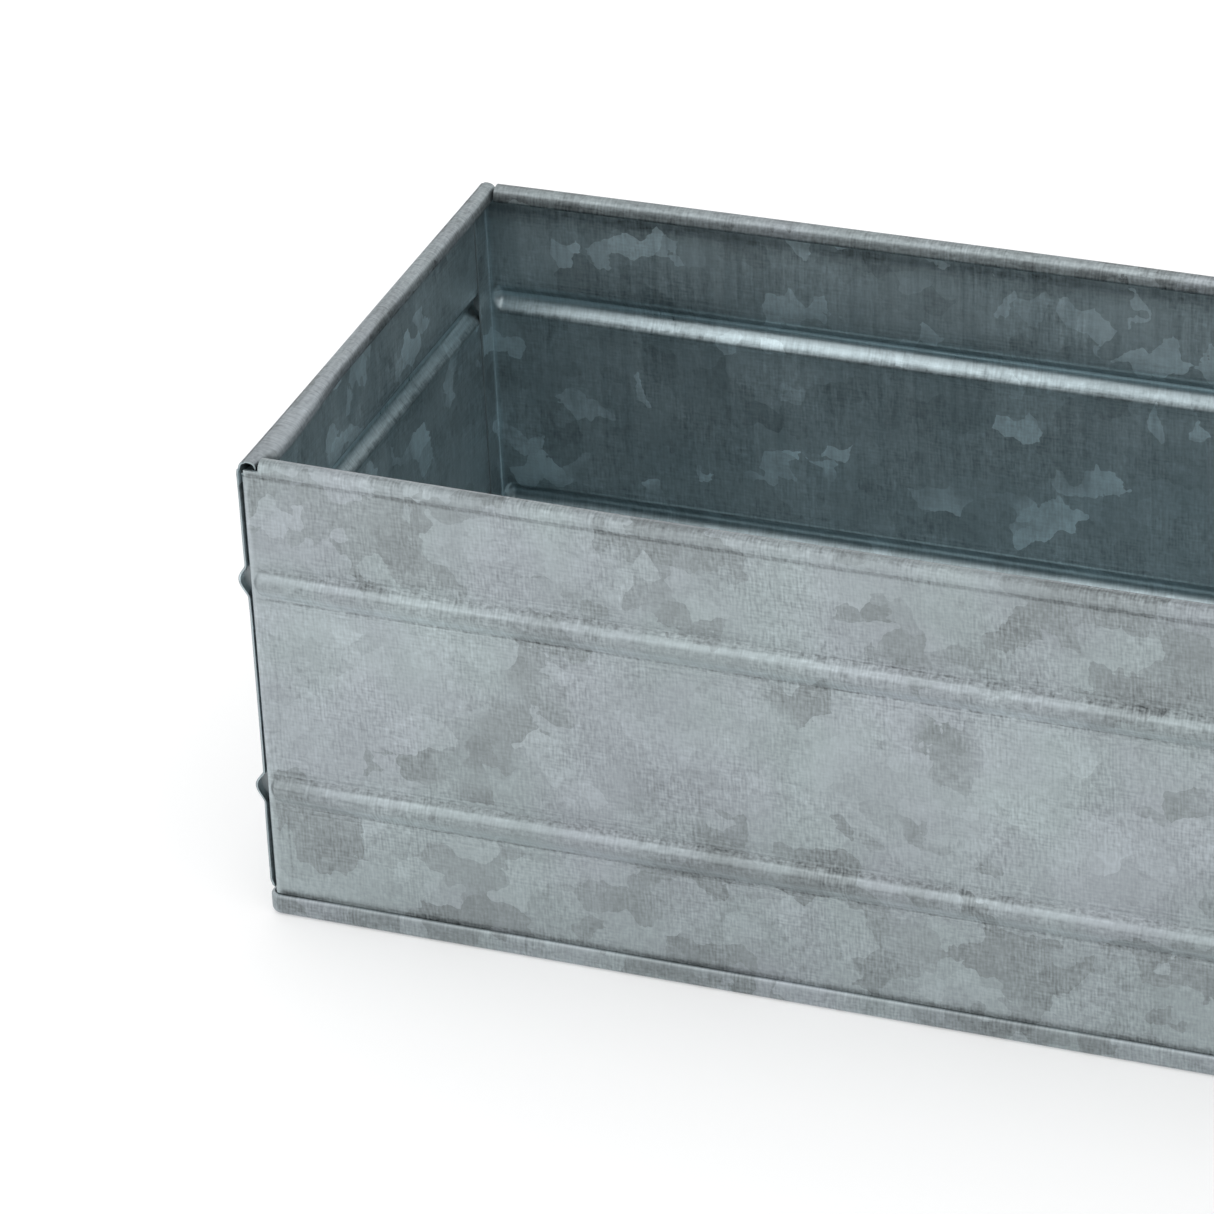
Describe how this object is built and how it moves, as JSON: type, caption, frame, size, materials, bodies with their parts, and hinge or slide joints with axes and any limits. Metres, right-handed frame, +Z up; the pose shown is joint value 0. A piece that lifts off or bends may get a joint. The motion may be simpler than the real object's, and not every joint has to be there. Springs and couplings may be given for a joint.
{
  "type": "livestock water trough",
  "caption": "Rectangular open-top trough of folded galvanised sheet, with rolled rims, stiffening beads round the walls and a soldered bottom tray.",
  "frame": {"origin": "middle of the flat underside, at ground level", "axes": "+X along the long walls, +Y from the front wall to the back wall, +Z up"},
  "size_m": [0.6074, 0.2474, 0.2],
  "materials": {
    "galvanised_sheet": "hot-dip galvanised, satin, with a pale and dark zinc spangle",
    "solder": "dull tin solder"
  },
  "bodies": {
    "root": {"front_wall": "galvanised_sheet", "back_wall": "galvanised_sheet", "left_end_wall": "galvanised_sheet", "right_end_wall": "galvanised_sheet", "bottom_tray": "galvanised_sheet", "front_left_corner_solder": "solder", "front_right_corner_solder": "solder", "back_left_corner_solder": "solder", "back_right_corner_solder": "solder", "base_seam_solder": "solder"}
  },
  "joints": []
}
